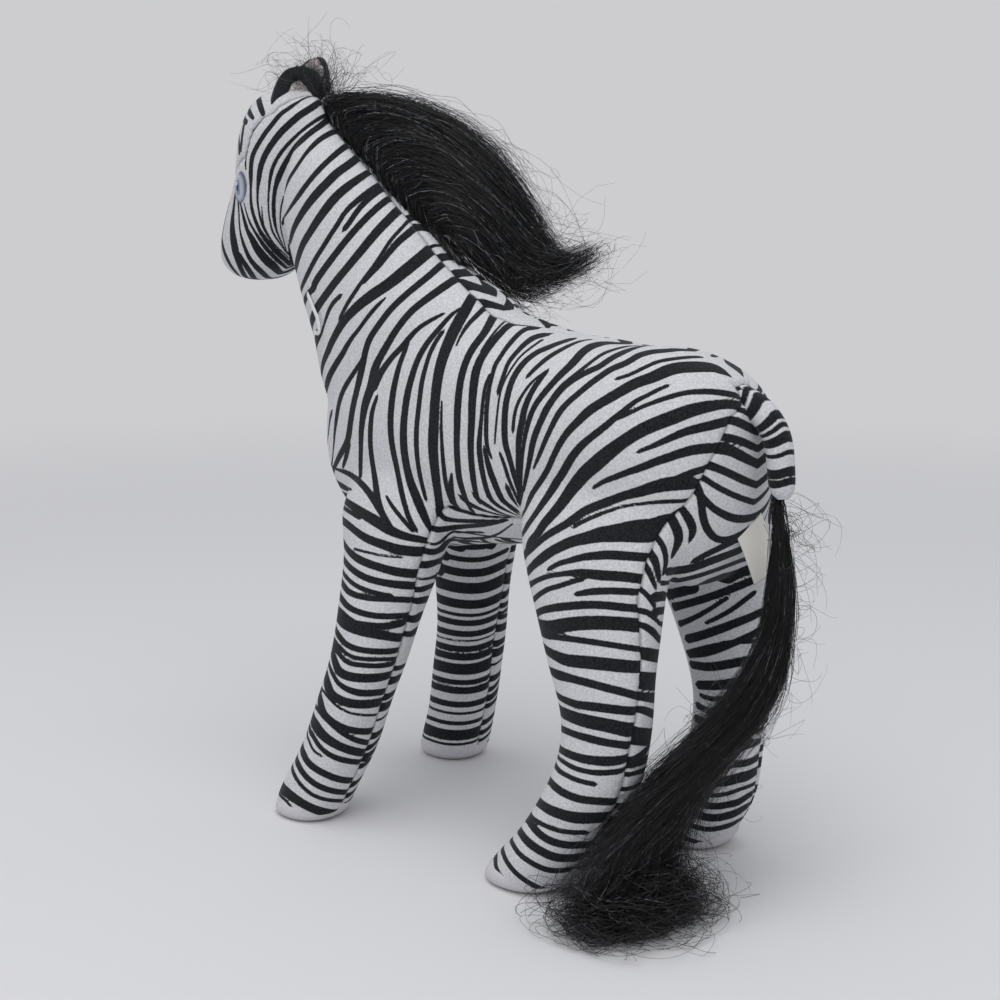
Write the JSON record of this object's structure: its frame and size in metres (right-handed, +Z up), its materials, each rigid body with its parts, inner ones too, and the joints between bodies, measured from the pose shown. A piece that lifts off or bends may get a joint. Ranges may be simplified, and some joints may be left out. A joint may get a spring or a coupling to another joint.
{
  "type": "plush zebra",
  "caption": "Standing stuffed toy zebra with a striped velour cover, a loose hair mane and a long hair tail.",
  "frame": {"origin": "on the floor under the middle of the toy's footprint box", "axes": "+Z up, the animal faces -Y, its left side is towards +X"},
  "size_m": [0.1246, 0.2804, 0.2954],
  "materials": {
    "printed_velour": "short-pile knit printed with black stripes on cool white",
    "white_velour": "short-pile knit, cool white",
    "black_velour": "short-pile knit, black print",
    "pink_lining": "short-pile knit, dusty pink",
    "fibre_filling": "loose polyester fibre",
    "eye_embroidery": "satin-stitched thread",
    "hair_weft": "stitched band of hair",
    "black_hair": "glossy black synthetic hair",
    "white_satin": "woven satin ribbon, bare",
    "clear_nylon": "translucent white nylon"
  },
  "bodies": {
    "body": {"body_left_panel": "printed_velour", "body_right_panel": "printed_velour", "belly_gusset": "printed_velour", "body_filling": "fibre_filling", "neck_left_panel": "printed_velour", "neck_right_panel": "printed_velour", "crest_gusset": "printed_velour", "neck_filling": "fibre_filling", "head_left_panel": "printed_velour", "head_right_panel": "printed_velour", "brow_gusset": "printed_velour", "head_filling": "fibre_filling", "front_left_leg_outer": "printed_velour", "front_left_leg_inner": "printed_velour", "front_left_leg_filling": "fibre_filling", "front_left_sole": "white_velour", "front_right_leg_outer": "printed_velour", "front_right_leg_inner": "printed_velour", "front_right_leg_filling": "fibre_filling", "front_right_sole": "white_velour", "hind_left_leg_outer": "printed_velour", "hind_left_leg_inner": "printed_velour", "hind_left_leg_filling": "fibre_filling", "hind_left_sole": "white_velour", "hind_right_leg_outer": "printed_velour", "hind_right_leg_inner": "printed_velour", "hind_right_leg_filling": "fibre_filling", "hind_right_sole": "white_velour", "eye_left": "eye_embroidery", "eye_right": "eye_embroidery", "mane_weft": "hair_weft"},
    "left_ear": {"ear_left": "black_velour", "ear_left_lining": "pink_lining"},
    "right_ear": {"ear_right": "black_velour", "ear_right_lining": "pink_lining"},
    "mane": {"mane_hair": "black_hair"},
    "tail": {"tail_tube": "printed_velour", "tail_filling": "fibre_filling"},
    "tail_lock": {"tail_hair": "black_hair"},
    "label": {"sewn_label": "white_satin"},
    "tag": {"tag_loop": "clear_nylon"}
  },
  "joints": [
    {"name": "left_ear_fold", "type": "hinge", "parent": "body", "child": "left_ear", "pos_m": [0.0057, -0.0852, 0.2705], "axis": [-0.342, 0.9397, 0], "range_deg": [-12, 12], "stiffness_Nm_per_rad": 0.0005},
    {"name": "right_ear_fold", "type": "hinge", "parent": "body", "child": "right_ear", "pos_m": [-0.0188, -0.0892, 0.273], "axis": [0.8829, 0.4695, 0], "range_deg": [-12, 12], "stiffness_Nm_per_rad": 0.0005},
    {"name": "mane_lift", "type": "hinge", "parent": "body", "child": "mane", "pos_m": [-0.0063, -0.0682, 0.2727], "axis": [0, 0.7469, -0.6649], "range_deg": [0, 45]},
    {"name": "tail_lift", "type": "hinge", "parent": "body", "child": "tail", "pos_m": [-0.0063, 0.1198, 0.174], "axis": [1, 0, 0], "range_deg": [0, 50]},
    {"name": "tail_hair_sway", "type": "hinge", "parent": "tail", "child": "tail_lock", "pos_m": [-0.0063, 0.1328, 0.1396], "axis": [0, 1, 0], "range_deg": [-8, 6]},
    {"name": "label_flap", "type": "hinge", "parent": "body", "child": "label", "pos_m": [0.0052, 0.1214, 0.132], "axis": [0.958, -0.2868, 0], "range_deg": [0, 60]},
    {"name": "tag_swing", "type": "hinge", "parent": "body", "child": "tag", "pos_m": [0.0142, -0.0732, 0.199], "axis": [-0.5157, -0.6373, -0.5727], "range_deg": [0, 40]}
  ]
}
